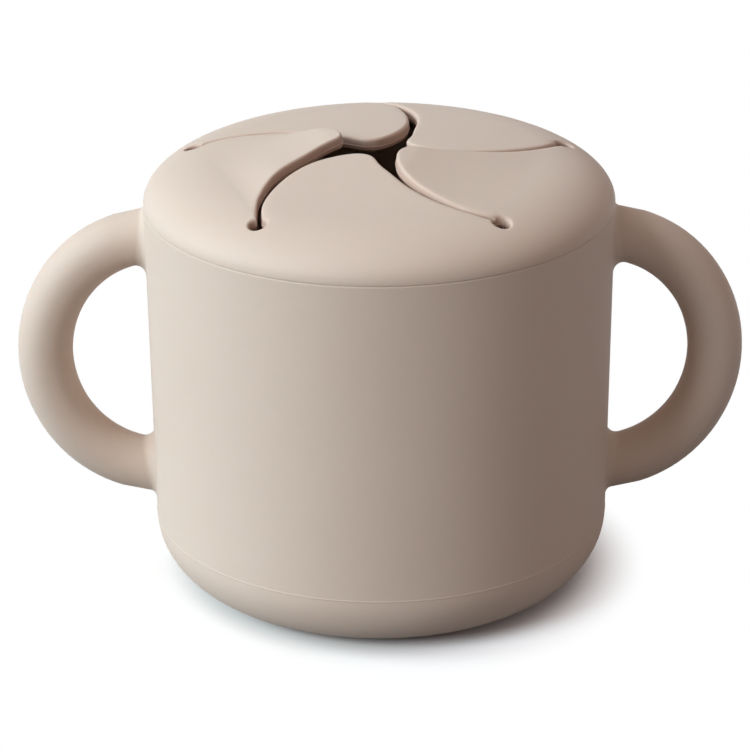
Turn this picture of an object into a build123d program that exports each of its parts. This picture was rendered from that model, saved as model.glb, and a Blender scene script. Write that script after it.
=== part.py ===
from build123d import *
import os
from math import asin, atan, cos, degrees, hypot, radians, sin, sqrt

# Two-handled silicone snack cup with a push-through lid.
# Millimetres. The origin is the middle of the base, +Z is up, the handles lie along X
# and the front of the cup faces -Y.

# ---- cup ----
SEAM_RADIUS = 44.0            # outside of cup and lid where they meet
SEAM_HEIGHT = 74.7            # the cup's rim, on which the lid sits
WALL_DRAFT = 0.6              # how much narrower the wall is at the top of the base round
BASE_ROUND_OUT = 13.2         # radial reach of the rounded foot
BASE_ROUND_UP = 12.2          # its height
WALL = 3.0
FLOOR = 3.4
INNER_ROUND = 10.0            # radius between floor and wall, inside
BASE_RING_WIDTH = 4.2         # flat ring that the cup stands on
BASE_RECESS_DEPTH = 0.6
RIM_ROUND = 0.3               # edge round on both sides of the seam
MOULD_LINE_RISE = 0.15        # how proud the mould's parting line stands
MOULD_LINE_HALF = 0.3         # half its width
MOULD_LINE_ABOVE_ROUND = 0.4

# ---- handles ----
HANDLE_DIAMETER = 10.4
HANDLE_REACH = 21.6           # sideways half-axis of the tube's elliptical centre line
HANDLE_ROOT_DEPTH = 1.9       # the ellipse's centre lies this far inside the cup's skin
HANDLE_TOP_GAP = 1.7          # from the seam down to the tube
HANDLE_FOOT_GAP = 3.2         # from the rounded foot up to the tube
HANDLE_FILLET = 1.2

# ---- lid ----
LID_SKIN = 2.4                # thickness of crown, shoulder and flaps
SHOULDER_OUT = 17.5           # the shoulder is a quarter ellipse, this wide
SHOULDER_UP = 7.75            # and this high
SHOULDER_FOOT = 0.35          # short upright edge between seam and shoulder
DOME_OVERLAP = 4.5            # how far the crown's shallow dome reaches over the shoulder
SKIRT_DEPTH = 9.0             # how far the skirt plugs into the cup
SKIRT_WALL = 1.8
BEAD_COUNT = 2                # sealing beads round the skirt
BEAD_PROUD = 0.33
BEAD_HALF = 0.7               # half the height of one bead
BEAD_CLEARANCE = 0.12         # bead to the cup's bore

# ---- flaps ----
# counterclockwise from the front, and how many degrees each flap stands up at rest
FLAPS = (
    ("flap_front", 3.2),
    ("flap_right", 4.6),
    ("flap_back_right", 0.8),
    ("flap_back_left", 0.5),
    ("flap_left", 7.2),
)
FLAP_UP = 35.0                # how far a flap swings up and down from level
FLAP_DOWN = 70.0
HOLE_RADIUS = 1.9             # the relief holes at the slit ends
HOLE_TO_SKIRT = 0.05
HINGE_CLEARANCE = 0.1         # between a flap's round root and its groove in the lid
HINGE_MARGIN = 0.05           # root radius beyond the least that clears the groove's lips
ROOT_END_CLEARANCE = 0.3      # from the root's ends to the groove's ends
ROOT_LEFT_GAP = 1.3           # from the left relief hole's middle to the flap's root
ROOT_RIGHT_GAP = 3.6          # on the right, where the next flap's edge bulges over the line
FLAP_EDGE_ROUND = 0.7
# a flap's free edge between its two relief holes, left to right: shares of the hole
# circle's radius, and degrees from the flap's middle line
FLAP_EDGE = (
    (0.87, -40.1),
    (0.69, -46.0),
    (0.43, -51.5),
    (0.235, -46.0),
    (0.165, -30.0),
    (0.215, -4.0),
    (0.353, 7.1),
    (0.521, 15.1),
    (0.722, 24.0),
)

# ---- worked out from the above ----
WALL_BASE_RADIUS = SEAM_RADIUS - WALL_DRAFT
BORE_RADIUS = SEAM_RADIUS - WALL
HANDLE_HEIGHT = SEAM_HEIGHT - HANDLE_TOP_GAP - BASE_ROUND_UP - HANDLE_FOOT_GAP
HANDLE_MIDDLE = (SEAM_RADIUS - HANDLE_ROOT_DEPTH, SEAM_HEIGHT - HANDLE_TOP_GAP - HANDLE_HEIGHT / 2)
SKIRT_OUTER = BORE_RADIUS - BEAD_CLEARANCE - BEAD_PROUD
SKIRT_INNER = SKIRT_OUTER - SKIRT_WALL
HOLE_CIRCLE_RADIUS = SKIRT_INNER - HOLE_TO_SKIRT - HOLE_RADIUS
SHOULDER_MIDDLE = SEAM_RADIUS - SHOULDER_OUT
DOME_START_RADIUS = SHOULDER_MIDDLE + DOME_OVERLAP
SHOULDER_BASE_Z = SEAM_HEIGHT + SHOULDER_FOOT
FLAP_PITCH = 360 / len(FLAPS)
CHORD_DISTANCE = HOLE_CIRCLE_RADIUS * cos(radians(FLAP_PITCH / 2))
HALF_CHORD = HOLE_CIRCLE_RADIUS * sin(radians(FLAP_PITCH / 2))


def shoulder_height(radius, inset=0.0):
    """Height of the shoulder's quarter ellipse at a radius; inset goes under the skin."""
    share = (radius - SHOULDER_MIDDLE) / (SHOULDER_OUT - inset)
    return SHOULDER_BASE_Z + (SHOULDER_UP - inset) * sqrt(1 - share * share)


def crown_height(radius, inset=0.0):
    """Height of the crown: a shallow dome that the shoulder runs into."""
    if radius > DOME_START_RADIUS:
        return shoulder_height(radius, inset)
    share = (DOME_START_RADIUS - SHOULDER_MIDDLE) / (SHOULDER_OUT - inset)
    slope = (SHOULDER_UP - inset) / (SHOULDER_OUT - inset) * share / sqrt(1 - share * share)
    dome_radius = DOME_START_RADIUS / sin(atan(slope))
    edge_depth = sqrt(dome_radius**2 - DOME_START_RADIUS**2)
    rise = sqrt(dome_radius**2 - radius**2) - edge_depth
    return shoulder_height(DOME_START_RADIUS, inset) + rise


# The hinge axis runs through the middle of the skin at the relief holes. The root is just
# round enough that neither face of the flap meets the lid at the ends of its swing.
HINGE_HEIGHT = crown_height(HOLE_CIRCLE_RADIUS) - LID_SKIN / 2
ROOT_RADIUS = HINGE_MARGIN + max(
    (crown_height(CHORD_DISTANCE) - HINGE_HEIGHT) / cos(radians(FLAP_UP / 2)),
    LID_SKIN / 2 / cos(radians(FLAP_DOWN / 2)),
)


def turned(outline):
    """Solid of revolution about Z from a closed outline drawn in the XZ plane."""
    return revolve(Plane.XZ * make_face(outline), axis=Axis.Z)


def crown_lines(inset, end_radius):
    """Dome and shoulder, from the axis out to end_radius."""
    width = SHOULDER_OUT - inset
    start = degrees(asin((DOME_START_RADIUS - SHOULDER_MIDDLE) / width))
    end = degrees(asin((end_radius - SHOULDER_MIDDLE) / width))
    middle = (SHOULDER_MIDDLE, SHOULDER_BASE_Z)
    shoulder = EllipticalCenterArc(middle, width, SHOULDER_UP - inset, 90 - end, arc_size=end - start)
    dome = TangentArc(shoulder @ 1, (0, crown_height(0, inset)), tangent=shoulder % 1)
    return shoulder, dome


def ridge(radius, height, half_height, proud):
    """Low ring of triangular section on an upright wall."""
    root = radius - proud
    points = [(root, height - half_height), (radius + proud, height), (root, height + half_height)]
    return turned(Polyline(points, close=True))


def cup():
    middle = (WALL_BASE_RADIUS - BASE_ROUND_OUT, BASE_ROUND_UP)
    foot = EllipticalCenterArc(middle, BASE_ROUND_OUT, BASE_ROUND_UP, -90, arc_size=90)
    rim_start = (SEAM_RADIUS, SEAM_HEIGHT - RIM_ROUND)
    rim = RadiusArc(rim_start, (SEAM_RADIUS - RIM_ROUND, SEAM_HEIGHT), -RIM_ROUND)
    body = turned(
        [
            Line((0, 0), foot @ 0),
            foot,
            Line(foot @ 1, rim_start),
            rim,
            Line(rim @ 1, (0, SEAM_HEIGHT)),
            Line((0, SEAM_HEIGHT), (0, 0)),
        ]
    )
    mould_line = BASE_ROUND_UP + MOULD_LINE_ABOVE_ROUND
    body += ridge(WALL_BASE_RADIUS, mould_line, MOULD_LINE_HALF, MOULD_LINE_RISE)
    right = handle()
    body += right
    body += mirror(right, about=Plane.YZ)
    body = fillet(handle_roots(body), min(HANDLE_FILLET, 0.9 * (HANDLE_TOP_GAP - RIM_ROUND)))
    return body - cavity() - base_recess()


def handle():
    half_height = (HANDLE_HEIGHT - HANDLE_DIAMETER) / 2
    arc = EllipticalCenterArc(HANDLE_MIDDLE, HANDLE_REACH, half_height, -90, arc_size=180)
    centre_line = Plane.XZ * arc
    tube = Plane(origin=centre_line @ 0, z_dir=centre_line % 0) * Circle(HANDLE_DIAMETER / 2)
    return sweep(tube, path=centre_line)


def handle_roots(body):
    """The closed edges where the handle tubes run into the wall."""
    near_wall = []
    for edge in body.edges():
        box = edge.bounding_box()
        middle = edge.center(CenterOf.BOUNDING_BOX)
        at_wall = SEAM_RADIUS - HANDLE_ROOT_DEPTH < abs(middle.X) < SEAM_RADIUS + HANDLE_DIAMETER / 4
        if at_wall and abs(middle.Y) < HANDLE_DIAMETER and box.size.Y < HANDLE_DIAMETER * 1.2:
            near_wall.append(edge)
    return near_wall


def cavity():
    bottom = WALL_BASE_RADIUS - WALL
    corner = CenterArc((bottom - INNER_ROUND, FLOOR + INNER_ROUND), INNER_ROUND, -90, 90)
    seat_foot = (BORE_RADIUS, SEAM_HEIGHT - SKIRT_DEPTH - WALL)
    above_rim = SEAM_HEIGHT + WALL
    return turned(
        [
            Line((0, FLOOR), corner @ 0),
            corner,
            Line(corner @ 1, seat_foot),
            Line(seat_foot, (BORE_RADIUS, above_rim)),
            Line((BORE_RADIUS, above_rim), (0, above_rim)),
            Line((0, above_rim), (0, FLOOR)),
        ]
    )


def base_recess():
    radius = WALL_BASE_RADIUS - BASE_ROUND_OUT - BASE_RING_WIDTH
    points = [
        (0, 0),
        (radius, 0),
        (radius - BASE_RECESS_DEPTH, BASE_RECESS_DEPTH),
        (0, BASE_RECESS_DEPTH),
    ]
    return turned(Polyline(points, close=True))


def whole_lid():
    """The lid as one turned piece, before its slits are cut."""
    outer_shoulder, outer_dome = crown_lines(0, SEAM_RADIUS)
    inner_shoulder, inner_dome = crown_lines(LID_SKIN, SKIRT_INNER)
    skirt_bottom = SEAM_HEIGHT - SKIRT_DEPTH
    foot = (SEAM_RADIUS, SEAM_HEIGHT + RIM_ROUND)
    edge = RadiusArc((SEAM_RADIUS - RIM_ROUND, SEAM_HEIGHT), foot, -RIM_ROUND)
    lid = turned(
        [
            Line(inner_dome @ 1, outer_dome @ 1),
            outer_dome,
            outer_shoulder,
            Line(outer_shoulder @ 0, foot),
            edge,
            Polyline(
                edge @ 0,
                (SKIRT_OUTER, SEAM_HEIGHT),
                (SKIRT_OUTER, skirt_bottom),
                (SKIRT_INNER, skirt_bottom),
                inner_shoulder @ 0,
            ),
            inner_shoulder,
            inner_dome,
        ]
    )
    for bead in range(BEAD_COUNT):
        depth = SKIRT_DEPTH * (bead + 1) / (BEAD_COUNT + 1)
        lid += ridge(SKIRT_OUTER, SEAM_HEIGHT - depth, BEAD_HALF, BEAD_PROUD)
    return lid


def crown_shell():
    """Only the crown's skin, from the axis out to the skirt."""
    outer_shoulder, outer_dome = crown_lines(0, SKIRT_INNER)
    inner_shoulder, inner_dome = crown_lines(LID_SKIN, SKIRT_INNER)
    return turned(
        [
            Line(inner_dome @ 1, outer_dome @ 1),
            outer_dome,
            outer_shoulder,
            Line(outer_shoulder @ 0, inner_shoulder @ 0),
            inner_shoulder,
            inner_dome,
        ]
    )


def hinge_rod(radius, end_clearance):
    """Cylinder along the front flap's hinge axis."""
    left = ROOT_LEFT_GAP - end_clearance - HALF_CHORD
    right = HALF_CHORD - ROOT_RIGHT_GAP + end_clearance
    place = Pos((left + right) / 2, -CHORD_DISTANCE, HINGE_HEIGHT) * Rot(0, 90, 0)
    return place * Cylinder(radius, right - left)


def all_round(shape):
    """Copies of a shape at the front flap, one for every flap."""
    return [Rot(0, 0, index * FLAP_PITCH) * shape for index in range(len(FLAPS))]


def relief_holes():
    x, y = polar(1, FLAP_PITCH / 2)
    return all_round(Pos(x, y, SHOULDER_BASE_Z + SHOULDER_UP) * Cylinder(HOLE_RADIUS, 2 * SHOULDER_UP))


def lid():
    corners = [polar(1, (index - 0.5) * FLAP_PITCH) for index in range(len(FLAPS))]
    window = make_face(Polyline(corners, close=True))
    body = whole_lid() - Pos(0, 0, SHOULDER_BASE_Z) * extrude(window, 2 * SHOULDER_UP)
    body -= all_round(hinge_rod(ROOT_RADIUS + HINGE_CLEARANCE, ROOT_END_CLEARANCE))
    return body - relief_holes()


def polar(share, angle):
    """Point in plan: a share of the hole circle's radius, degrees from the front."""
    radius = share * HOLE_CIRCLE_RADIUS
    return (radius * sin(radians(angle)), -radius * cos(radians(angle)))


def flap(lift):
    """The front flap, stood up by its rest angle about its hinge."""
    left = (-HALF_CHORD, -CHORD_DISTANCE)
    right = (HALF_CHORD - ROOT_RIGHT_GAP, -CHORD_DISTANCE)
    edge = Spline([left, *[polar(*point) for point in FLAP_EDGE], right])
    outline = make_face([edge, Line(right, left)])
    blade = Pos(0, 0, SHOULDER_BASE_Z) * extrude(outline, 2 * SHOULDER_UP)
    root = split(hinge_rod(ROOT_RADIUS, 0), Plane.XZ.offset(CHORD_DISTANCE), keep=Keep.TOP)
    body = crown_shell() & (blade + root)
    body -= relief_holes()
    body = fillet(free_top_edges(body), FLAP_EDGE_ROUND)
    axis = Axis((0, -CHORD_DISTANCE, HINGE_HEIGHT), (1, 0, 0))
    return body.rotate(axis, lift)


def free_top_edges(body):
    """Top edges along the slits, without the root."""
    found = []
    for edge in body.edges():
        middle = edge @ 0.5
        skin = crown_height(hypot(middle.X, middle.Y))
        beside_slit = middle.Y > -CHORD_DISTANCE + HOLE_RADIUS
        if beside_slit and abs(middle.Z - skin) < LID_SKIN / 10:
            found.append(edge)
    return found


def save(name, shape):
    export_step(shape, f"parts/{name}.step")


os.makedirs("parts", exist_ok=True)
save("cup", cup())
save("lid", lid())
for index, (name, lift) in enumerate(FLAPS):
    save(name, Rot(0, 0, index * FLAP_PITCH) * flap(lift))
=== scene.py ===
from math import asin, atan, atan2, cos, hypot, pi, radians, sin, sqrt, tan

import bmesh
import bpy
from mathutils import Matrix, Vector


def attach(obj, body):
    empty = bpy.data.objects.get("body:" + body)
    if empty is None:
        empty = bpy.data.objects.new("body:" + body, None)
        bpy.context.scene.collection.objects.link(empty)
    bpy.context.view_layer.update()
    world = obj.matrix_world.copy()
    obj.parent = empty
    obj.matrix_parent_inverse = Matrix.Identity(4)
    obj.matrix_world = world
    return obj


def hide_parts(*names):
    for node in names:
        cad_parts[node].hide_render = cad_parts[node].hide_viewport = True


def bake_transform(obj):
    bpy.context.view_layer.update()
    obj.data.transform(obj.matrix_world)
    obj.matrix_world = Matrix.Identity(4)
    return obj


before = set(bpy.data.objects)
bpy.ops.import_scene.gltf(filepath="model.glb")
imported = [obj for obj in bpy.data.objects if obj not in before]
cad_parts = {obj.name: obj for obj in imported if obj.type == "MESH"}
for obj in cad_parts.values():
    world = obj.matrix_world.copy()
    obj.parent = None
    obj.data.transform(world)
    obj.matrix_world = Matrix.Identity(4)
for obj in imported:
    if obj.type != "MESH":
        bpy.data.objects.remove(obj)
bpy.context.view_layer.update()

# Two-handled silicone snack cup with a push-through lid. Outlines are worked out in
# millimetres, as (x, y, z) or (radius, height), and skin() turns them into metres.
MM = 0.001

# ---- cup ----
SEAM_RADIUS = 44.0
SEAM_HEIGHT = 74.7
WALL_DRAFT = 0.6
FOOT_OUT = 13.2
FOOT_UP = 12.2
WALL = 3.0
FLOOR = 3.4
INNER_ROUND = 10.0
BASE_RING_WIDTH = 4.2
BASE_RECESS_DEPTH = 0.6
RIM_ROUND = 0.3
MOULD_LINE_HEIGHT = FOOT_UP + 0.4
MOULD_LINE_RISE = 0.06
MOULD_LINE_HALF = 0.18
POLE_RADIUS = 0.4             # the last small loop round the middle of the base and floor

# ---- handles ----
TUBE_RADIUS = 5.2
HANDLE_REACH = 21.6           # half-axes of the tube's elliptical centre line
HANDLE_RISE = 23.6
HANDLE_MIDDLE_X = 42.1
HANDLE_MIDDLE_Z = 44.2
FILLET_OUTSIDE = 1.2          # where the tube runs into the wall, away from the finger gap
FILLET_INSIDE = 2.5           # and towards it
WALL_STEPS = 160              # corners round the cup
ROOT_HALF_STEPS = 4           # the opening for a handle root, counted in faces
ROOT_ROWS = 8

# ---- lid ----
LID_SKIN = 2.4
SHOULDER_OUT = 17.5
SHOULDER_UP = 7.75
SHOULDER_FOOT = 0.35
LID_FOOT_ROUND = 0.1          # the lid's edge on the cup's rim is nearly sharp
DOME_OVERLAP = 4.5
SKIRT_DEPTH = 9.0
SKIRT_OUTER = 40.55
SKIRT_INNER = 38.75
BEAD_DEPTHS = (3.0, 6.0)
BEAD_PROUD = 0.33
BEAD_HALF = 0.7
HOLE_CIRCLE = 36.8            # the relief holes' middles lie on this circle
HOLE_RADIUS = 1.6
EDGE_ROUND = 0.6              # top edges of slits and holes
UNDER_ROUND = 0.35
OUTER_LOOP = 41.0             # from here out the lid is plain and round

# ---- flaps: name, degrees that the flap curls up, degrees of twist, how far its curl
# draws it back towards its root, how far its right edge stands away from the slit, and
# the share of the curl that its left side leaves out ----
FLAPS = (
    ("flap_front", 3.0, 1.0, 0.33, 0.0, 0.0),
    ("flap_right", 4.8, 0.8, 0.30, 0.0, 0.0),
    ("flap_back_right", 0.8, 0.0, 0.80, 0.3, 0.0),
    ("flap_back_left", 0.4, 0.5, 0.60, 0.0, 0.0),
    ("flap_left", 6.05, 4.1, 0.50, 0.55, 0.8),
)
FLAT_BAND = 8.0               # left of the twist's line the curl eases off over this distance
TWIST_SIDE = -9.0             # the twist turns about this line, and lifts what lies right of it
CURL = 22.0                   # the curl, twist and drawing back grow over these
TWIST_GROWS = 11.0            # distances from the root line
DRAW_GROWS = 9.0
EDGE_BAND = 7.0               # width of the band that gives way where an edge stands off
BEND = 12.0                   # a pushed flap would bend over this distance from its root line; below, a point this far in is worked out and not used
KERF = 1.00                   # width of a slit where it leaves its relief hole
SLIT_DIRECTION = 79.0         # degrees from the root line
FLASH_LINE = ((0.60, 0.0), (0.65, 0.11), (0.69, 0.11), (0.71, 0.0))  # share of the wall's height, and how proud
# a flap's edge: shares of the hole circle, and degrees from the flap's middle line
LEFT_EDGE = ((0.878, -40.8), (0.702, -48.1), (0.437, -57.2), (0.217, -53.4))
TIP = (0.155, -37.9)
RIGHT_EDGE = (
    (0.878, 30.2), (0.727, 23.9), (0.520, 15.8), (0.355, 9.3), (0.226, -1.4), (0.159, -12.8)
)

# ---- worked out from the above ----
WALL_BASE = SEAM_RADIUS - WALL_DRAFT
BORE = SEAM_RADIUS - WALL
SHOULDER_MIDDLE = SEAM_RADIUS - SHOULDER_OUT
DOME_START = SHOULDER_MIDDLE + DOME_OVERLAP
SHOULDER_BASE = SEAM_HEIGHT + SHOULDER_FOOT
PITCH = 360 / len(FLAPS)
ROOT_LINE = HOLE_CIRCLE * cos(radians(PITCH / 2))
HALF_ROOT = HOLE_CIRCLE * sin(radians(PITCH / 2))


# ---------------------------------------------------------------- modelling by loops

def skin(name, loops):
    """A skin that starts as a ring of corners and is extruded once for each further loop."""
    bpy.ops.object.select_all(action="DESELECT")
    bpy.ops.mesh.primitive_circle_add(vertices=len(loops[0]))
    piece = bpy.context.object
    piece.name = name
    bpy.ops.object.mode_set(mode="EDIT")
    bpy.ops.mesh.select_mode(type="EDGE")
    bpy.ops.mesh.select_all(action="SELECT")
    ring = list(range(len(loops[0])))
    place(piece, ring, loops[0])
    for loop in loops[1:]:
        bpy.ops.mesh.extrude_region_move()
        ring = extruded(piece, ring)
        place(piece, ring, loop)
    bpy.ops.object.mode_set(mode="OBJECT")
    return piece


def place(piece, ring, points):
    """Sets the ring's corners at points given in millimetres."""
    mesh = bmesh.from_edit_mesh(piece.data)
    mesh.verts.ensure_lookup_table()
    for index, point in zip(ring, points):
        mesh.verts[index].co = Vector(point) * MM
    bmesh.update_edit_mesh(piece.data)


def extruded(piece, ring):
    """The new corner that an extrusion made from each corner of the ring."""
    mesh = bmesh.from_edit_mesh(piece.data)
    mesh.verts.ensure_lookup_table()
    mesh.verts.index_update()
    fresh = []
    for index in ring:
        corner = mesh.verts[index]
        ends = [edge.other_vert(corner) for edge in corner.link_edges]
        fresh.append(next(end.index for end in ends if end.select))
    return fresh


def close_up(piece, smooth_below=40):
    """Merges doubled corners, fills what is open, and turns every face outwards."""
    bpy.ops.object.select_all(action="DESELECT")
    piece.select_set(True)
    bpy.context.view_layer.objects.active = piece
    bpy.ops.object.mode_set(mode="EDIT")
    bpy.ops.mesh.select_mode(type="VERT")
    bpy.ops.mesh.select_all(action="SELECT")
    bpy.ops.mesh.remove_doubles(threshold=0.004 * MM)
    bpy.ops.mesh.select_all(action="SELECT")
    bpy.ops.mesh.fill_holes(sides=0)
    bpy.ops.mesh.select_all(action="SELECT")
    bpy.ops.mesh.normals_make_consistent(inside=False)
    bpy.ops.object.mode_set(mode="OBJECT")
    bpy.ops.object.shade_smooth_by_angle(angle=radians(smooth_below))


def turned(outline, angles):
    """Loops round Z, one for each (radius, height) of the outline."""
    return [[(radius * sin(a), -radius * cos(a), height) for a in angles] for radius, height in outline]


def arc(middle, across, up, start, end, steps):
    """Points (radius, height) on an ellipse's arc, in degrees from level."""
    turns = [radians(start + (end - start) * step / steps) for step in range(steps + 1)]
    return [(middle[0] + across * cos(turn), middle[1] + up * sin(turn)) for turn in turns]


def spread(start, end, steps):
    """Evenly spaced values from start to end, both included."""
    return [start + (end - start) * step / steps for step in range(steps + 1)]


# ---------------------------------------------------------------- cup and handles

def wall_radius(height):
    share = (height - FOOT_UP) / (SEAM_HEIGHT - FOOT_UP)
    return WALL_BASE + WALL_DRAFT * min(1.0, max(0.0, share))


def root_span(side):
    """Lowest and highest point of the opening for a handle root: side is 1 above, -1 below."""
    axis = HANDLE_MIDDLE_Z + side * HANDLE_RISE
    outside = axis + side * (TUBE_RADIUS + FILLET_OUTSIDE)
    inside = axis - side * (TUBE_RADIUS + FILLET_INSIDE)
    return min(outside, inside), max(outside, inside)


def cup_outline():
    """The cup's section, from the middle of the base, up outside and down inside."""
    recess = WALL_BASE - FOOT_OUT - BASE_RING_WIDTH
    outline = [(POLE_RADIUS, BASE_RECESS_DEPTH), (recess * 0.5, BASE_RECESS_DEPTH)]
    outline += [(recess - BASE_RECESS_DEPTH, BASE_RECESS_DEPTH), (recess - 0.1, 0.06), (recess + 0.2, 0)]
    outline += arc((WALL_BASE - FOOT_OUT, FOOT_UP), FOOT_OUT, FOOT_UP, -90, 0, 22)
    for share in (-1.6, -1, -0.5, 0, 0.5, 1, 1.6):
        height = MOULD_LINE_HEIGHT + share * MOULD_LINE_HALF
        outline.append((wall_radius(height) + MOULD_LINE_RISE * max(0, 1 - share * share), height))
    low, high = root_span(-1), root_span(1)
    heights = spread(*low, ROOT_ROWS) + spread(low[1], high[0], 12)[1:-1] + spread(*high, ROOT_ROWS)
    outline += [(wall_radius(height), height) for height in heights]
    rim = SEAM_HEIGHT - RIM_ROUND
    outline += arc((SEAM_RADIUS - RIM_ROUND, rim), RIM_ROUND, RIM_ROUND, 0, 90, 4)
    outline += arc((BORE + RIM_ROUND, rim), RIM_ROUND, RIM_ROUND, 90, 180, 4)
    bottom = WALL_BASE - WALL
    outline += [(BORE, height) for height in spread(rim - 1, SEAM_HEIGHT - SKIRT_DEPTH - WALL, 5)]
    outline += [(bottom + 0.5 * share, FLOOR + INNER_ROUND + 45 * share) for share in (0.9, 0.5, 0.2)]
    outline += arc((bottom - INNER_ROUND, FLOOR + INNER_ROUND), INNER_ROUND, INNER_ROUND, 0, -90, 12)
    outline += [(bottom * 0.4, FLOOR), (POLE_RADIUS, FLOOR)]
    return outline


def fillet_loop(side, sweep, turns):
    """Loop where a tube swells into the wall; sweep runs from 0 at the wall to 90 on the tube."""
    loop = []
    for turn in turns:
        swell = (FILLET_OUTSIDE + FILLET_INSIDE) / 2 + (FILLET_OUTSIDE - FILLET_INSIDE) / 2 * sin(turn)
        radius = TUBE_RADIUS + swell * (1 - sin(radians(sweep)))
        y = radius * cos(turn)
        height = HANDLE_MIDDLE_Z + side * (HANDLE_RISE + radius * sin(turn))
        x = sqrt(wall_radius(height) ** 2 - y * y) + swell * (1 - cos(radians(sweep)))
        share = (x - HANDLE_MIDDLE_X) / HANDLE_REACH
        lean = hypot(1, HANDLE_RISE / HANDLE_REACH * share / sqrt(1 - share * share))
        rise = HANDLE_RISE * sqrt(1 - share * share) + radius * sin(turn) * lean
        loop.append((x, y, HANDLE_MIDDLE_Z + side * rise))
    return loop


def tube_loop(angle, turns):
    """Loop round the tube at an angle of its elliptical centre line."""
    across, up = HANDLE_REACH * cos(radians(angle)), HANDLE_RISE * sin(radians(angle))
    out = Vector((HANDLE_RISE * cos(radians(angle)), 0, HANDLE_REACH * sin(radians(angle)))).normalized()
    middle = Vector((HANDLE_MIDDLE_X + across, 0, HANDLE_MIDDLE_Z + up))
    aside = Vector((0, 1, 0))
    return [middle + TUBE_RADIUS * (aside * cos(turn) + out * sin(turn)) for turn in turns]


def handle_loops():
    count = 2 * (2 * ROOT_HALF_STEPS + ROOT_ROWS)
    turns = [2 * pi * step / count for step in range(count)]
    sweeps = spread(0, 90, 6)
    loops = [fillet_loop(1, sweep, turns) for sweep in sweeps]
    loops += [tube_loop(angle, turns) for angle in spread(73, -73, 40)]
    loops += [fillet_loop(-1, sweep, turns) for sweep in reversed(sweeps)]
    return loops


def round_the_root(piece, side, way, rim):
    """Opens the wall where a handle's root goes, with its border drawn onto the root's rim."""
    low, high = root_span(side)
    reach = radians(360 / WALL_STEPS * ROOT_HALF_STEPS)
    slack = 0.2
    mesh = bmesh.from_edit_mesh(piece.data)
    bpy.ops.mesh.select_all(action="DESELECT")
    bpy.ops.mesh.select_mode(type="FACE")
    for face in mesh.faces:
        x, y, z = face.calc_center_median() / MM
        beside = abs(atan2(y, way * x)) < reach and hypot(x, y) > WALL_BASE - WALL / 2
        face.select = beside and low - slack < z < high + slack
    mesh.select_flush_mode()
    chosen = [face for face in mesh.faces if face.select]
    inside = set(chosen)
    border = {v for f in chosen for v in f.verts if any(g not in inside for g in v.link_faces)}
    middle = (low + high) / 2
    around = lambda y, z: (atan2(z - middle, y) + pi + 0.02) % (2 * pi)
    corners = sorted(border, key=lambda v: around(v.co.y / MM, v.co.z / MM))
    lift = middle - (HANDLE_MIDDLE_Z + side * HANDLE_RISE)
    places = sorted(rim, key=lambda point: around(point[1], point[2] + lift))
    for corner, point in zip(corners, places):
        corner.co = Vector(point) * MM
    bmesh.update_edit_mesh(piece.data)
    bpy.ops.mesh.delete(type="FACE")


def make_cup():
    angles = [2 * pi * step / WALL_STEPS for step in range(WALL_STEPS)]
    cup = skin("cup_with_handles", turned(cup_outline(), angles))
    right = handle_loops()
    left = [[(-point[0], point[1], point[2]) for point in loop] for loop in right]
    bpy.ops.object.mode_set(mode="EDIT")
    for way, loops in ((1, right), (-1, left)):
        round_the_root(cup, 1, way, loops[0])
        round_the_root(cup, -1, way, loops[-1])
    bpy.ops.object.mode_set(mode="OBJECT")
    handles = [skin("handle", loops) for loops in (right, left)]
    bpy.ops.object.select_all(action="DESELECT")
    for piece in (*handles, cup):
        piece.select_set(True)
    bpy.context.view_layer.objects.active = cup
    bpy.ops.object.join()
    close_up(cup)
    return cup


# ---------------------------------------------------------------- lid

def shoulder_height(radius, inset=0.0):
    share = (radius - SHOULDER_MIDDLE) / (SHOULDER_OUT - inset)
    return SHOULDER_BASE + (SHOULDER_UP - inset) * sqrt(max(0.0, 1 - share * share))


def crown_height(radius, inset=0.0):
    """Height of the lid's top: a shallow dome inside the shoulder's quarter ellipse."""
    if radius > DOME_START:
        return shoulder_height(radius, inset)
    share = (DOME_START - SHOULDER_MIDDLE) / (SHOULDER_OUT - inset)
    slope = (SHOULDER_UP - inset) / (SHOULDER_OUT - inset) * share / sqrt(1 - share * share)
    dome = DOME_START / sin(atan(slope))
    drop = sqrt(dome**2 - DOME_START**2)
    return shoulder_height(DOME_START, inset) + sqrt(dome**2 - radius**2) - drop


def rounding(distance, radius):
    """How far a rounded edge lies below the surface, at a distance from the edge."""
    short = max(0.0, radius - distance)
    return radius - sqrt(radius**2 - short**2)


def top_at(point, distance):
    return crown_height(hypot(*point)) - rounding(distance, EDGE_ROUND)


def under_at(point, distance):
    return crown_height(hypot(*point), LID_SKIN) + rounding(distance, UNDER_ROUND)


def polar(share, angle):
    """Point in plan: a share of the hole circle's radius, degrees from the front."""
    return Vector((share * HOLE_CIRCLE * sin(radians(angle)), -share * HOLE_CIRCLE * cos(radians(angle))))


def turn(point, angle):
    """A plan point turned about the lid's middle, in degrees."""
    c, s = cos(radians(angle)), sin(radians(angle))
    return Vector((point[0] * c - point[1] * s, point[0] * s + point[1] * c))


EDGE_STEPS = [EDGE_ROUND * (1 - cos(radians(step))) for step in (0, 22.5, 45, 67.5, 90)]
ROOT_WIDTH = 2 * (HALF_ROOT - HOLE_RADIUS)


def row_steps(width):
    """Places of the corners across a row of this width: dense by both edges, even between."""
    edge = min(1.0, 0.36 * width / EDGE_ROUND)
    left = [step * edge for step in EDGE_STEPS]
    return left + spread(left[-1], width - left[-1], 26)[1:-1] + [width - step for step in reversed(left)]


def at_hole(side, angle):
    """Point on the rim of the front flap's right (1) or left (-1) relief hole."""
    middle = Vector((side * HALF_ROOT, -ROOT_LINE))
    return middle + HOLE_RADIUS * Vector((cos(radians(angle)), sin(radians(angle))))


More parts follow.
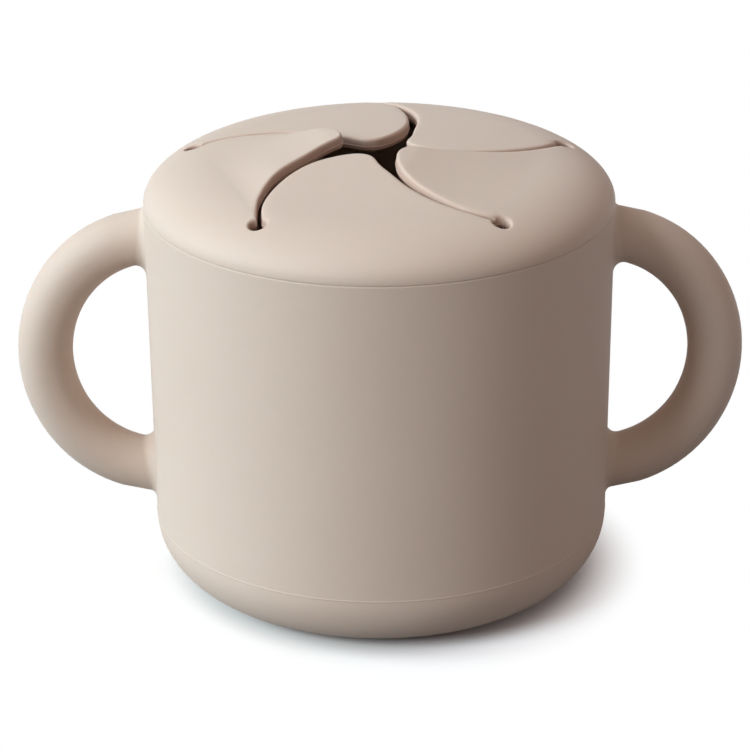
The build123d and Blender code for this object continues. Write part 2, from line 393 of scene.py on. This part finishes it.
HOLE_SWEEP = 180 + PITCH      # the part of a relief hole's rim that lies outside the root lines
HOLE_STEPS = 24
CORNER = 1.5                  # near a hole, root lines' offsets lean away over this distance


def heading(angle):
    return Vector((cos(radians(angle)), sin(radians(angle))))


def lid_sector():
    """One fifth of the line between lid and flaps: (point, way into the lid, outer angle)."""
    fan = 8.5
    plain = PITCH / 2 - fan
    line = []
    for step in row_steps(ROOT_WIDTH):
        point = Vector((step - ROOT_WIDTH / 2, -ROOT_LINE))
        reach = atan2(HALF_ROOT - HOLE_RADIUS, ROOT_LINE)
        lean = 1 - grown(ROOT_WIDTH / 2 - abs(point.x), CORNER)
        way = Vector((-lean if point.x > 0 else lean, -1))
        line.append((point, way, plain * atan2(point.x, ROOT_LINE) / reach))
    for step in range(1, HOLE_STEPS):
        sweep = HOLE_SWEEP * step / HOLE_STEPS
        way = heading(180 + sweep) + heading(270) * (1 - grown(sweep, 40))
        way += heading(270 + PITCH) * (1 - grown(HOLE_SWEEP - sweep, 40))
        line.append((at_hole(1, 180 + sweep), way, plain + 2 * fan * step / HOLE_STEPS))
    return line


def hole_distance(point):
    """Distance from the nearest relief hole's rim."""
    near = min((point - polar(1, (index - 0.5) * PITCH)).length for index in range(len(FLAPS)))
    return max(0.0, near - HOLE_RADIUS)


def paint_slit_shade(piece, distance):
    """Marks the walls of slits and holes for painted shade in the silicone's colour, most where they are deep."""
    marks = piece.data.attributes.new("painted_slit_shade", "FLOAT", "POINT")
    for corner, mark in zip(piece.data.vertices, marks.data):
        point = corner.co.xy / MM
        depth = crown_height(point.length) - corner.co.z / MM if point.length < SKIRT_INNER else 0
        # painted shade: strongest by the edges of slits and holes and deep inside them
        mark.value = (1 - grown(distance(point), EDGE_ROUND)) * (0.4 + 0.6 * grown(depth, LID_SKIN))


def make_lid():
    line = []
    for index in range(len(FLAPS)):
        for point, way, angle in lid_sector():
            line.append((turn(point, index * PITCH), turn(way, index * PITCH), angle + index * PITCH))
    angles = [radians(angle) for _, _, angle in line]
    loops = [[point + way * step for point, way, _ in line] for step in EDGE_STEPS]
    ring = [polar(OUTER_LOOP / HOLE_CIRCLE, angle) for _, _, angle in line]
    for share in spread(0, 1, 9)[1:]:
        loops.append([a.lerp(b, share) for a, b in zip(loops[len(EDGE_STEPS) - 1], ring)])
    top = [[(*point, top_at(point, hole_distance(point))) for point in loop] for loop in loops]
    start = 90 - asin((OUTER_LOOP - SHOULDER_MIDDLE) / SHOULDER_OUT) * 180 / pi
    outline = arc((SHOULDER_MIDDLE, SHOULDER_BASE), SHOULDER_OUT, SHOULDER_UP, start, 0, 16)[1:]
    edge = (SEAM_RADIUS - LID_FOOT_ROUND, SEAM_HEIGHT + LID_FOOT_ROUND)
    outline += arc(edge, LID_FOOT_ROUND, LID_FOOT_ROUND, 0, -90, 4)
    outline.append((SKIRT_OUTER + 0.2, SEAM_HEIGHT))
    outline.append((SKIRT_OUTER, SEAM_HEIGHT - 0.2))
    for depth in BEAD_DEPTHS:
        for share in (-1, -0.4, 0, 0.4, 1):
            proud = BEAD_PROUD * (1 - abs(share)) ** 0.7
            outline.append((SKIRT_OUTER + proud, SEAM_HEIGHT - depth - share * BEAD_HALF))
    bottom = SEAM_HEIGHT - SKIRT_DEPTH
    outline += arc((SKIRT_OUTER - RIM_ROUND, bottom + RIM_ROUND), RIM_ROUND, RIM_ROUND, 0, -90, 3)
    outline += arc((SKIRT_INNER + RIM_ROUND, bottom + RIM_ROUND), RIM_ROUND, RIM_ROUND, 270, 180, 3)
    outline += [(SKIRT_INNER, height) for height in spread(bottom + 3, crown_height(SKIRT_INNER, LID_SKIN), 3)]
    under = []
    inner = [polar(SKIRT_INNER / HOLE_CIRCLE, angle) for _, _, angle in line]
    for share in (0.2, 0.4, 0.6, 0.8, 0.92, 1):
        loop = [a.lerp(entry[0], share) for a, entry in zip(inner, line)]
        under.append([(*point, under_at(point, hole_distance(point))) for point in loop])
    lid = skin("lid_ring", top + turned(outline, angles) + under + top[:1])
    close_up(lid)
    paint_slit_shade(lid, hole_distance)
    return lid


# ---------------------------------------------------------------- flaps

def smooth_line(points, steps):
    """An even-flowing line (natural cubic) through plan points, steps to each stretch."""
    count = len(points)
    gaps = [(b - a).length for a, b in zip(points, points[1:])]
    rates = [(b - a) / gap for a, b, gap in zip(points, points[1:], gaps)]
    bends = [Vector((0, 0)) for _ in points]
    shares = [0.0] * count
    for i in range(1, count - 1):
        weight = 2 * (gaps[i - 1] + gaps[i]) - gaps[i - 1] * shares[i - 1]
        shares[i] = gaps[i] / weight
        bends[i] = (6 * (rates[i] - rates[i - 1]) - gaps[i - 1] * bends[i - 1]) / weight
    for i in range(count - 2, 0, -1):
        bends[i] -= shares[i] * bends[i + 1]
    line = []
    for i, gap in enumerate(gaps):
        for step in range(steps):
            far = step / steps
            near = 1 - far
            pull = bends[i] * (near**3 - near) + bends[i + 1] * (far**3 - far)
            line.append(points[i] * near + points[i + 1] * far + pull * gap * gap / 6)
    return line + [points[-1]]


def along(line, shares):
    """Points at shares of a line's length."""
    lengths = [0.0]
    for a, b in zip(line, line[1:]):
        lengths.append(lengths[-1] + (b - a).length)
    found = []
    for share in shares:
        want = share * lengths[-1]
        index = next((i for i in range(len(line) - 1) if lengths[i + 1] >= want), len(line) - 2)
        span = lengths[index + 1] - lengths[index]
        found.append(line[index].lerp(line[index + 1], (want - lengths[index]) / span))
    return found


def line_distance(point, line):
    """Distance from a plan point to a line of plan points."""
    best = 1e9
    for a, b in zip(line, line[1:]):
        step = b - a
        share = min(1.0, max(0.0, (point - a).dot(step) / max(step.length_squared, 1e-12)))
        best = min(best, (a + step * share - point).length_squared)
    return sqrt(best)


RIM_STEPS = 8                 # corners of a flap's edge round its part of a relief hole


def flap_edges():
    """Left and right edge in plan, from the root line to the tip, with matching corners."""
    half_kerf = asin(KERF / 2 / HOLE_RADIUS) * 180 / pi
    left_end = SLIT_DIRECTION - half_kerf
    right_end = SLIT_DIRECTION + half_kerf + PITCH
    left_rim = [at_hole(-1, angle) for angle in spread(0, left_end, RIM_STEPS)]
    right_rim = [at_hole(1, angle) for angle in spread(180, right_end, RIM_STEPS)]
    edge = [left_rim[-1], *[polar(*p) for p in LEFT_EDGE], polar(*TIP)]
    edge += [*[polar(*p) for p in reversed(RIGHT_EDGE)], right_rim[-1]]
    steps = 12
    whole = smooth_line(edge, steps)
    tip = (len(LEFT_EDGE) + 1) * steps
    shares = [1 - (1 - step / 44) ** 1.5 for step in range(45)]
    left = left_rim[:-1] + along(whole[: tip + 1], shares)
    right = right_rim[:-1] + along(whole[tip:][::-1], shares)
    return left, right


def flat_flap():
    """The front flap as it would lie level with the lid's top."""
    left, right = flap_edges()
    border = left + right[-2::-1]
    ends = [border[0], *border, border[-1]]
    out = [Vector((a.y - b.y, b.x - a.x)).normalized() for a, b in zip(ends, ends[2:])]
    loops = []
    for a, b, out_left, out_right in zip(left, right, out, out[::-1]):
        width = (b - a).length
        points = [a.lerp(b, step / width) if width > 1e-6 else a for step in row_steps(width)]
        distances = [line_distance(point, border) for point in points]
        top = [(*p, top_at(p, d)) for p, d in zip(points, distances)]
        under = [(*p, under_at(p, d)) for p, d in zip(points, distances)]
        walls = [[(*(p + way * proud), z + share * (low - z)) for share, proud in FLASH_LINE]
                 for p, way, z, low in (
                     (b, out_right, top[-1][2], under[-1][2]), (a, out_left, top[0][2], under[0][2]))]
        loops.append(top + walls[0] + under[::-1] + walls[1][::-1])
    flap = skin("flap", loops)
    close_up(flap)
    paint_slit_shade(flap, lambda point: line_distance(point, border))
    return flap


HINGE_HEIGHT = crown_height(HOLE_CIRCLE) - LID_SKIN / 2


def stand_off(x, y, edge, gap):
    """Where a plan point goes when the right edge gives way to the left by this gap."""
    point = Vector((x, y))
    near = min(range(len(edge) - 1), key=lambda i: line_distance(point, edge[i : i + 2]))
    along_edge = (edge[near + 1] - edge[near]).normalized()
    share = 1 - grown(line_distance(point, edge[near : near + 2]), EDGE_BAND)
    push = gap * share * share * grown(y + ROOT_LINE, 3.0)
    return x - along_edge.y * push, y + along_edge.x * push


def make_flap(pattern, name, lift, twist, draw, gap, flat, place_angle):
    """A copy of the flat flap, curled up from its root line and turned to its place."""
    slit = flap_edges()[1][RIM_STEPS:]
    mesh = pattern.data.copy()
    flap = bpy.data.objects.new(name, mesh)
    bpy.context.scene.collection.objects.link(flap)
    for corner in mesh.vertices:
        x, y = corner.co.x / MM, corner.co.y / MM
        if gap:
            x, y = stand_off(x, y, slit, gap)
        inward = y + ROOT_LINE
        above = corner.co.z / MM - HINGE_HEIGHT
        kept = 1 - flat * eased(grown(TWIST_SIDE - x, FLAT_BAND))
        bend = radians(lift) * grown(inward, CURL) * kept
        drawn = draw * eased(grown(inward, DRAW_GROWS))
        y = inward * cos(bend) - above * sin(bend) - ROOT_LINE - drawn
        z = inward * sin(bend) + above * cos(bend) + HINGE_HEIGHT
        z += max(0.0, x - TWIST_SIDE) * tan(radians(twist)) * eased(grown(inward, TWIST_GROWS))
        corner.co = (x * MM, y * MM, z * MM)
    mesh.transform(Matrix.Rotation(radians(place_angle), 4, "Z"))
    return flap


def grown(distance, length):
    """Share of a length covered by a distance, from 0 to 1."""
    return min(1.0, max(0.0, distance / length))


def eased(share):
    """The same share with a soft start and a soft end."""
    return share * share * (3 - 2 * share)


# ---------------------------------------------------------------- silicone

class Wire:
    """A shader socket that arithmetic can be written with."""

    def __init__(self, tree, socket=None):
        self.tree, self.socket = tree, socket

    def node(self, kind, sockets=None, output=0, **settings):
        made = self.tree.nodes.new(kind)
        for name, setting in settings.items():
            setattr(made, name, setting)
        for name, value in (sockets or {}).items():
            if isinstance(value, Wire):
                self.tree.links.new(value.socket, made.inputs[name])
            else:
                made.inputs[name].default_value = value
        return Wire(self.tree, made.outputs[output] if made.outputs else None)

    def maths(self, operation, first, second):
        return self.node("ShaderNodeMath", {0: first, 1: second}, operation=operation)

    def __add__(self, other):
        return self.maths("ADD", self, other)

    __radd__ = __add__

    def __sub__(self, other):
        return self.maths("SUBTRACT", self, other)

    def __rsub__(self, other):
        return self.maths("SUBTRACT", other, self)

    def __mul__(self, other):
        return self.maths("MULTIPLY", self, other)

    __rmul__ = __mul__


def new_material(name):
    material = bpy.data.materials.new(name)
    material.use_nodes = True
    material.node_tree.nodes.clear()
    return material, Wire(material.node_tree)


# painted shade: the warm brown that stands in for the shade inside slits and holes
SLIT_PAINTED_SHADE = (0.430, 0.265, 0.200, 1)


def silicone(name):
    """Soft matte silicone: an even sand colour with a faint cloudiness and a fine moulded grain, with painted shade
    in the walls of slits and holes.
    """
    material, wire = new_material(name)
    place_on_object = wire.node("ShaderNodeTexCoord", output="Object")
    cloud = wire.node("ShaderNodeTexNoise", {"Vector": place_on_object, "Scale": 42.0, "Detail": 3.0})
    speck = wire.node("ShaderNodeTexNoise", {"Vector": place_on_object, "Scale": 700.0, "Detail": 2.0})
    grain = wire.node("ShaderNodeTexNoise", {"Vector": place_on_object, "Scale": 2600.0, "Detail": 3.0})
    tone = wire.node(
        "ShaderNodeMix",
        {"Factor": cloud * 0.7 + speck * 0.3, 6: (0.587, 0.451, 0.364, 1), 7: (0.637, 0.496, 0.405, 1)},
        output=2,
        data_type="RGBA",
    )
    # painted shade: the walls of slits and holes turn towards the warm brown, most where deep
    depth = wire.node("ShaderNodeAttribute", output="Fac", attribute_name="painted_slit_shade")
    tone_with_painted_shade = wire.node("ShaderNodeMix", {"Factor": depth, 6: tone, 7: SLIT_PAINTED_SHADE}, output=2, data_type="RGBA")
    bump = wire.node("ShaderNodeBump", {"Height": grain + speck * 0.6, "Strength": 0.16, "Distance": 0.00006})
    shader = wire.node(
        "ShaderNodeBsdfPrincipled",
        {
            "Base Color": tone_with_painted_shade,
            "Roughness": 0.5 + cloud * 0.12 + speck * 0.1,
            "Normal": bump,
            "IOR": 1.43,
            "Specular IOR Level": 0.35,
            "Subsurface Weight": 0.15,
            "Subsurface Radius": (1.0, 0.45, 0.3),
            "Subsurface Scale": 0.0012,
            "Sheen Weight": 0.05,
            "Sheen Roughness": 0.5,
        },
    )
    wire.node("ShaderNodeOutputMaterial", {"Surface": shader})
    return material


# ---------------------------------------------------------------- room, light and camera

CAMERA_TARGET = Vector((-1.02, 0, 38.89)) * MM
CAMERA_DISTANCE = 0.6107
CAMERA_ELEVATION = radians(23.46)
CAMERA_ROLL = radians(-0.41)
CAMERA_LENS = 153.34


def make_camera():
    back = Vector((0, -cos(CAMERA_ELEVATION), sin(CAMERA_ELEVATION)))
    right = Vector((1, 0, 0))
    up = back.cross(right)
    aside = right * cos(CAMERA_ROLL) + up * sin(CAMERA_ROLL)
    above = up * cos(CAMERA_ROLL) - right * sin(CAMERA_ROLL)
    bpy.ops.object.camera_add(location=CAMERA_TARGET + back * CAMERA_DISTANCE)
    camera = bpy.context.object
    camera.rotation_euler = Matrix((aside, above, back)).transposed().to_euler()
    camera.data.lens = CAMERA_LENS
    camera.data.sensor_width = 36
    bpy.context.scene.camera = camera


SHADOW_START = 0.037          # the table's shadow fades out between these distances
SHADOW_END = 0.052
FLOOR_BOUNCE = 0.18           # what the table throws back onto the cup
# painted light and shade: per channel, the table's tone on the left and on the right, where the cup's shadow falls
FLOOR_TONE = (("Red", 1.10, 1.13), ("Green", 1.02, 1.12), ("Blue", 0.96, 1.14))


def make_floor():
    bpy.ops.mesh.primitive_plane_add(size=6)
    floor = bpy.context.object
    floor.name = "floor"
    material, wire = new_material("white_table")
    seen = wire.node("ShaderNodeLightPath", output="Is Camera Ray")
    shine = wire.node("ShaderNodeLightPath", output="Is Glossy Ray")
    white = wire.node("ShaderNodeLightPath", output="Is Transmission Ray") + seen + shine
    spot = wire.node("ShaderNodeTexCoord", output="Object")
    away = wire.node("ShaderNodeVectorMath", {0: spot}, output="Value", operation="LENGTH")
    # painted contact shadow: the table keeps 0.62 of its tone close to the foot and all of it from 42 mm out
    painted_contact_shade = wire.node("ShaderNodeMapRange", {"Value": away, 1: 0.031, 2: 0.042, 3: 0.62, 4: 1.0})
    # painted shadow tint: the tone goes from the left values to the right ones, brighter and cooler where the
    # shadow falls
    across = wire.node("ShaderNodeSeparateXYZ", {0: spot}, output="X")
    right = wire.node("ShaderNodeMapRange", {"Value": across, 1: -0.015, 2: 0.025})
    channels = {}
    for name, on_left, on_right in FLOOR_TONE:
        tone = right * (on_right - on_left) + on_left
        channels[name] = painted_contact_shade * (white * (tone - FLOOR_BOUNCE) + FLOOR_BOUNCE)
    colour = wire.node("ShaderNodeCombineColor", channels)
    lit = wire.node("ShaderNodeBsdfDiffuse", {"Color": colour})
    paper = wire.node("ShaderNodeEmission", {"Strength": 1.0})
    fade = wire.node(
        "ShaderNodeMapRange", {"Value": away, 1: SHADOW_START, 2: SHADOW_END}, interpolation_type="SMOOTHSTEP"
    )
    table = wire.node("ShaderNodeMixShader", {0: fade * seen, 1: lit, 2: paper})
    from_below = wire.node("ShaderNodeNewGeometry", output="Backfacing")
    nothing = wire.node("ShaderNodeBsdfTransparent")
    under_base = wire.node("ShaderNodeMapRange", {"Value": away, 1: 0.0298, 2: 0.0297})
    shader = wire.node("ShaderNodeMixShader", {0: from_below + under_base, 1: table, 2: nothing})
    wire.node("ShaderNodeOutputMaterial", {"Surface": shader})
    floor.data.materials.append(material)


FILL_LIGHT = (0.415, 0.355, 0.335, 1)


def make_world():
    world = bpy.data.worlds.new("white_room")
    bpy.context.scene.world = world
    world.use_nodes = True
    world.node_tree.nodes.clear()
    wire = Wire(world.node_tree)
    seen = wire.node("ShaderNodeLightPath", output="Is Camera Ray")
    shine = wire.node("ShaderNodeLightPath", output="Is Glossy Ray")
    white = wire.node("ShaderNodeLightPath", output="Is Transmission Ray") + seen + shine * 0.6
    fill = wire.node("ShaderNodeMix", {"Factor": white, 6: FILL_LIGHT, 7: (1, 1, 1, 1)}, output=2, data_type="RGBA")
    sky = wire.node("ShaderNodeBackground", {"Color": fill, "Strength": 1.0})
    wire.node("ShaderNodeOutputWorld", {"Surface": sky})


def make_lamp(name, azimuth, elevation, spread_angle, strength, colour):
    """A wide, even lamp; azimuth runs from the front towards the right."""
    a, e = radians(azimuth), radians(elevation)
    direction = Vector((sin(a) * cos(e), -cos(a) * cos(e), sin(e)))
    bpy.ops.object.light_add(type="SUN", location=direction)
    lamp = bpy.context.object
    lamp.name = name
    lamp.rotation_euler = direction.to_track_quat("Z", "Y").to_euler()
    lamp.data.angle = radians(spread_angle)
    lamp.data.energy = strength * pi
    lamp.data.color = colour


make_camera()
make_floor()
make_world()
make_lamp("window_left", -92, 27, 24, 0.555, (0.62, 0.86, 1.0))
make_lamp("window_front_left", -57, 27, 24, 0.87, (0.78, 0.92, 1.0))
make_lamp("skylight_left", -105, 55, 30, 0.11, (0.70, 0.90, 1.0))

cup_silicone = silicone("sand_silicone_cup")
lid_silicone = silicone("sand_silicone_lid")

cup = make_cup()
cup.data.materials.append(cup_silicone)
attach(cup, "cup")
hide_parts("cup")

lid = make_lid()
lid.data.materials.append(lid_silicone)
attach(lid, "lid")
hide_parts("lid")

pattern = flat_flap()
pattern.data.materials.append(lid_silicone)
for index, (name, *attitude) in enumerate(FLAPS):
    piece = make_flap(pattern, name + "_skin", *attitude, index * PITCH)
    root = turn(Vector((0, -ROOT_LINE)), index * PITCH) * MM
    bent = turn(Vector((0, BEND - ROOT_LINE)), index * PITCH) * MM
    height = HINGE_HEIGHT * MM
    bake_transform(piece)
    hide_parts(name)
bpy.data.objects.remove(pattern)

bpy.context.scene.view_settings.view_transform = "Standard"
bpy.context.view_layer.update()
